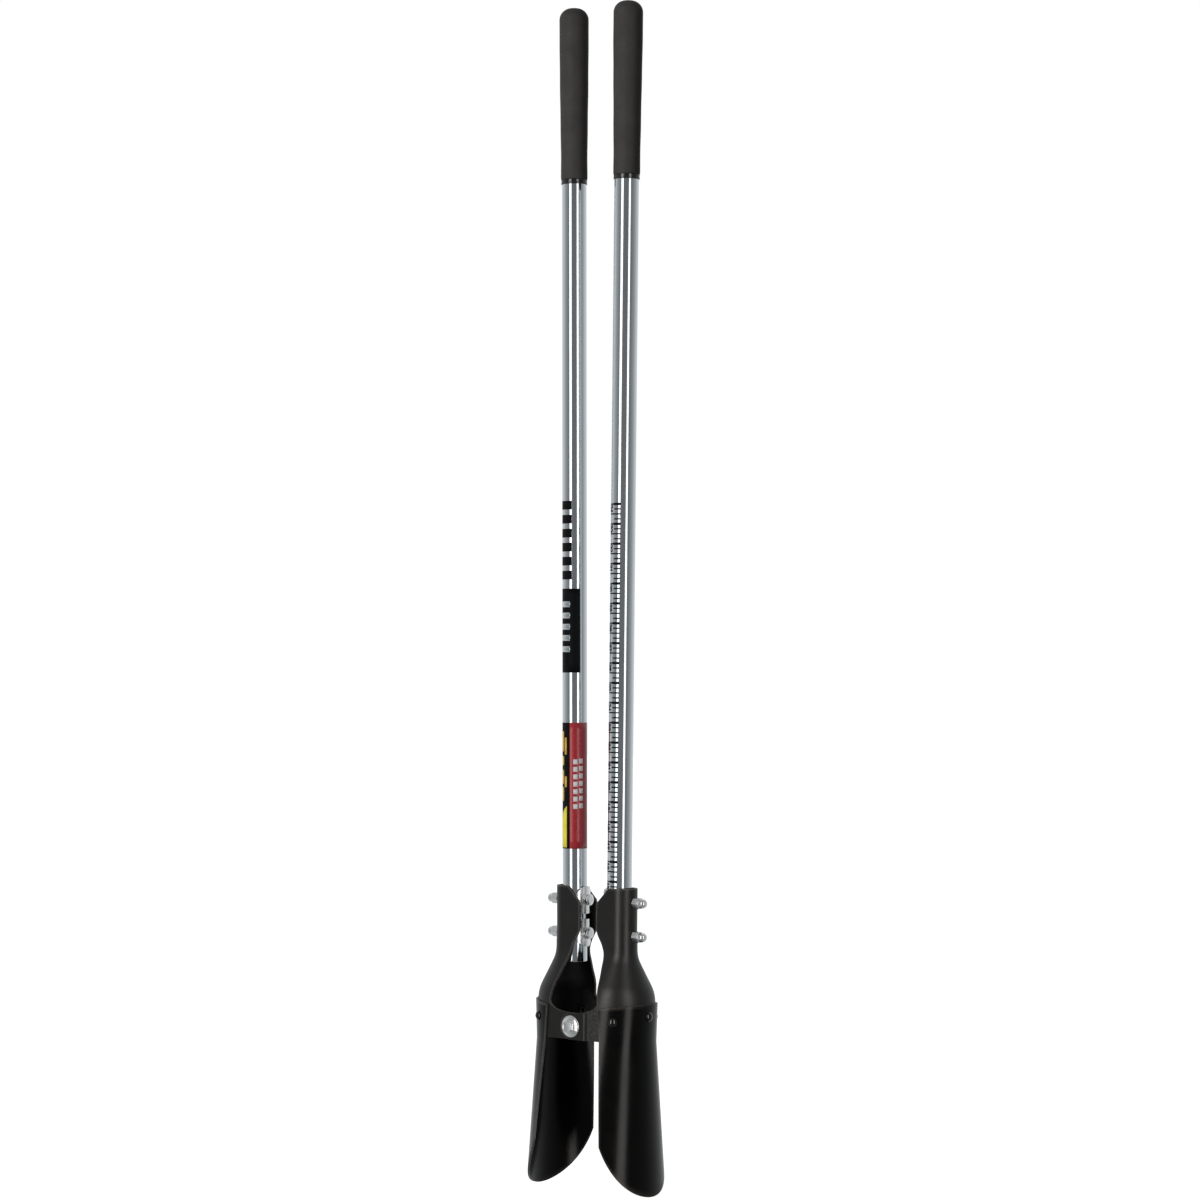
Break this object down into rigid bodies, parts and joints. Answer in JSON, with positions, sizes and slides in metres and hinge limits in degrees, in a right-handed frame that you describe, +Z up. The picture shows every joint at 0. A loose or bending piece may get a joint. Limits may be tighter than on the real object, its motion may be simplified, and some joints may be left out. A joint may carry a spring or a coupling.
{
  "type": "post hole digger",
  "caption": "Long-handled post hole digger: a pair of curved steel blades on pressed frames that pivot together, each with a straight tube handle and a foam grip.",
  "frame": {"origin": "on the ground midway between the two blade tips", "axes": "+Z up along the handles, X across the way the halves open, Y along the pivot axis, with the left half at -X"},
  "size_m": [0.1832, 0.1248, 1.526],
  "materials": {
    "blade_paint": "semi-gloss black paint",
    "frame_paint": "semi-gloss black paint",
    "rivet_paint": "gloss black paint",
    "zinc_tube": "polished zinc coating",
    "foam": "matte closed-cell foam",
    "gloss_black": "gloss black",
    "bright_zinc": "bright zinc plating"
  },
  "bodies": {
    "left_half": {"left_blade": "blade_paint", "left_frame": "frame_paint", "left_rivets": "rivet_paint", "left_tube": "zinc_tube", "left_grip": "foam", "left_collar": "gloss_black", "left_upper_saddle": "bright_zinc", "left_upper_bolt": "bright_zinc", "left_upper_nut": "bright_zinc", "left_lower_saddle": "bright_zinc", "left_lower_bolt": "bright_zinc", "left_lower_nut": "bright_zinc", "front_pivot_bolt": "bright_zinc", "front_pivot_washer": "bright_zinc", "front_pivot_nut": "bright_zinc", "rear_pivot_bolt": "bright_zinc", "rear_pivot_washer": "bright_zinc", "rear_pivot_nut": "bright_zinc"},
    "right_half": {"right_blade": "blade_paint", "right_frame": "frame_paint", "right_rivets": "rivet_paint", "right_tube": "zinc_tube", "right_grip": "foam", "right_collar": "gloss_black", "right_upper_saddle": "bright_zinc", "right_upper_bolt": "bright_zinc", "right_upper_nut": "bright_zinc", "right_lower_saddle": "bright_zinc", "right_lower_bolt": "bright_zinc", "right_lower_nut": "bright_zinc"}
  },
  "joints": [
    {"name": "pivot", "type": "hinge", "parent": "left_half", "child": "right_half", "pos_m": [0, 0, 0.214], "axis": [0, 1, 0], "range_deg": [-2, 35]}
  ]
}
